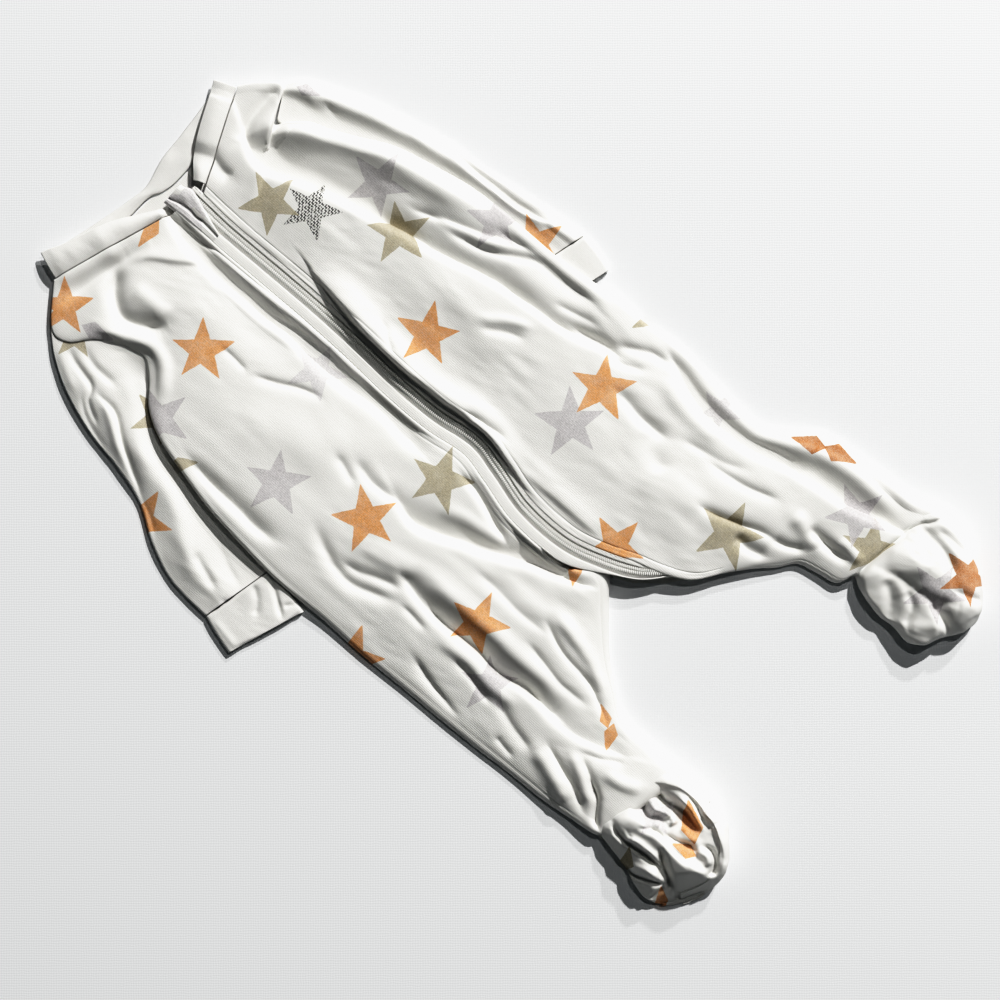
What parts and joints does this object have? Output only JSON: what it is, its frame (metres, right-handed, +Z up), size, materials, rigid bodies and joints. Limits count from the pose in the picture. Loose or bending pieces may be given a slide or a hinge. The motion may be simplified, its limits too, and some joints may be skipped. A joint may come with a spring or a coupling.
{
  "type": "footed baby sleepsuit",
  "caption": "Footed baby sleepsuit in star-print jersey, with long sleeves and a front zip that runs down the inside of one leg, lying flat with its front up.",
  "frame": {"origin": "on the ground, under the middle of the box round the laid-out garment", "axes": "+Z up out of the garment's front, +Y along the body towards the neck, +X towards the wearer's left"},
  "size_m": [0.3466, 0.5622, 0.026],
  "materials": {
    "jersey": "off-white cotton jersey with a scattered print of orange, khaki and pale grey stars",
    "rib": "plain off-white cotton rib",
    "zip_tape": "woven tape, off-white",
    "zip_coil": "satin nylon coil, off-white",
    "zip_slider": "satin enamel, off-white"
  },
  "bodies": {
    "root": {"back_panel": "jersey", "front_right": "jersey", "front_left": "jersey", "welt_right": "jersey", "welt_left": "jersey", "zip_guard": "jersey", "sleeve_right": "jersey", "sleeve_left": "jersey", "foot_left_sole": "jersey", "foot_left_upper": "jersey", "foot_right_sole": "jersey", "foot_right_upper": "jersey", "cuff_right": "rib", "cuff_left": "rib", "neckband_back": "rib", "neckband_right": "rib", "neckband_left": "rib", "ankle_band_right": "rib", "zip_tape_right": "zip_tape", "zip_tape_left": "zip_tape", "zip_coil": "zip_coil", "zip_slider": "zip_slider"}
  },
  "joints": []
}
